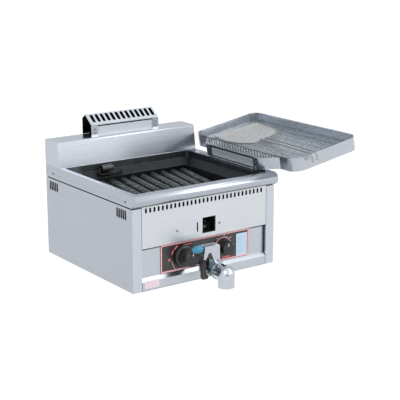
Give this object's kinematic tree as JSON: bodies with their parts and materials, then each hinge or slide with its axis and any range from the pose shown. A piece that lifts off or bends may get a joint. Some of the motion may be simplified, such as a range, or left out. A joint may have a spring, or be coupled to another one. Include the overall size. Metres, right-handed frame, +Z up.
{
  "type": "countertop gas fryer",
  "caption": "Worktop gas deep fryer with fire tubes through its oil pot, a flue hood behind, a drain cock in front and a lift-off draining tray on its right side.",
  "frame": {"origin": "centre of the cabinet's footprint, on the worktop that the feet stand on", "axes": "+X to the user's right (the tray's side), +Y to the rear (the flue), +Z up"},
  "size_m": [0.6675, 0.5647, 0.382],
  "materials": {
    "stainless": "satin",
    "stainless_dark": "satin",
    "pot_steel": "dull, heat-darkened",
    "tube_steel": "dull, heat-darkened",
    "zinc_sheet": "dull",
    "wire_steel": "satin",
    "mesh_steel": "satin",
    "chrome": "polished",
    "brass": "satin",
    "valve_brass": "nickel-plated, satin",
    "gas_steel": "satin",
    "copper": "satin",
    "black_plate": "satin",
    "label": "gloss",
    "knob_black": "gloss",
    "pointer_white": "gloss",
    "blue_plastic": "gloss",
    "sleeve_black": "matte",
    "rubber": "matte",
    "screw_steel": "polished"
  },
  "bodies": {
    "cabinet": {"feet": "rubber", "base_plate": "zinc_sheet", "side_panel_left": "stainless", "side_panel_right": "stainless", "back_panel": "zinc_sheet", "deck_rails": "zinc_sheet", "deck_top": "stainless", "deck_screws": "screw_steel", "backsplash": "stainless", "flue_hood": "stainless", "hood_front_plate": "stainless_dark", "hood_screws": "screw_steel", "flue_duct": "zinc_sheet", "oil_pot": "pot_steel", "fire_tubes": "tube_steel", "tube_sheets": "pot_steel", "firebox": "zinc_sheet", "main_burner": "tube_steel", "pilot_burner": "valve_brass", "thermocouple": "copper", "gas_inlet": "brass", "gas_valve": "brass", "gas_supply_pipe": "gas_steel", "burner_pipe": "gas_steel", "thermostat_body": "gas_steel", "thermostat_bulb": "copper", "bulb_guard": "stainless", "capillary_tube": "copper", "upper_front_panel": "stainless", "panel_screws": "screw_steel", "lower_front_panel": "stainless", "control_plate": "black_plate", "label_plate": "label", "drain_pipe": "zinc_sheet", "valve_body": "valve_brass", "drain_elbow": "chrome", "elbow_screw": "screw_steel", "lock_plate": "stainless", "lock_plate_screw": "screw_steel"},
    "gas_valve_plunger": {"gas_valve_plunger": "brass"},
    "gas_knob": {"gas_knob": "knob_black", "gas_knob_pointer": "pointer_white", "gas_valve_spindle": "brass"},
    "thermostat_dial": {"thermostat_dial": "knob_black", "dial_pointer": "pointer_white", "thermostat_spindle": "brass"},
    "drain_lever": {"lever_arm": "stainless", "lever_sleeve": "sleeve_black", "stem_nut": "screw_steel", "valve_stem": "valve_brass", "valve_ball": "chrome"},
    "lock_button": {"lock_button": "blue_plastic"},
    "tray": {"tray_pan": "stainless", "mouth_strainer": "mesh_steel", "tray_bracket": "stainless", "tray_pads": "rubber"},
    "drain_rack": {"drain_rack": "wire_steel"},
    "skimmer": {"skimmer_frame": "wire_steel", "skimmer_mesh": "mesh_steel", "skimmer_handle": "wire_steel"}
  },
  "joints": [
    {"name": "gas_knob_push", "type": "slide", "parent": "cabinet", "child": "gas_valve_plunger", "axis": [0, 1, 0], "range_m": [0, 0.005], "stiffness_N_per_m": 900},
    {"name": "gas_knob_turn", "type": "hinge", "parent": "gas_valve_plunger", "child": "gas_knob", "pos_m": [-0.067, -0.22, 0.0795], "axis": [0, -1, 0], "range_deg": [0, 180]},
    {"name": "thermostat_turn", "type": "hinge", "parent": "cabinet", "child": "thermostat_dial", "pos_m": [0.06, -0.215, 0.0795], "axis": [0, 1, 0], "range_deg": [0, 270]},
    {"name": "drain_lever_turn", "type": "hinge", "parent": "cabinet", "child": "drain_lever", "pos_m": [-0.01, -0.251, 0.0415], "axis": [-1, 0, 0], "range_deg": [0, 90]},
    {"name": "lock_button_push", "type": "slide", "parent": "cabinet", "child": "lock_button", "axis": [1, 0, 0], "range_m": [0, 0.004], "stiffness_N_per_m": 400},
    {"name": "tray_lift", "type": "slide", "parent": "cabinet", "child": "tray", "axis": [0, 0, 1], "range_m": [0, 0.2]},
    {"name": "drain_rack_lift", "type": "slide", "parent": "tray", "child": "drain_rack", "axis": [-0.1702, 0, 0.9854], "range_m": [0, 0.06]},
    {"name": "skimmer_lift", "type": "slide", "parent": "drain_rack", "child": "skimmer", "axis": [-0.1702, 0, 0.9854], "range_m": [0, 0.08]}
  ]
}
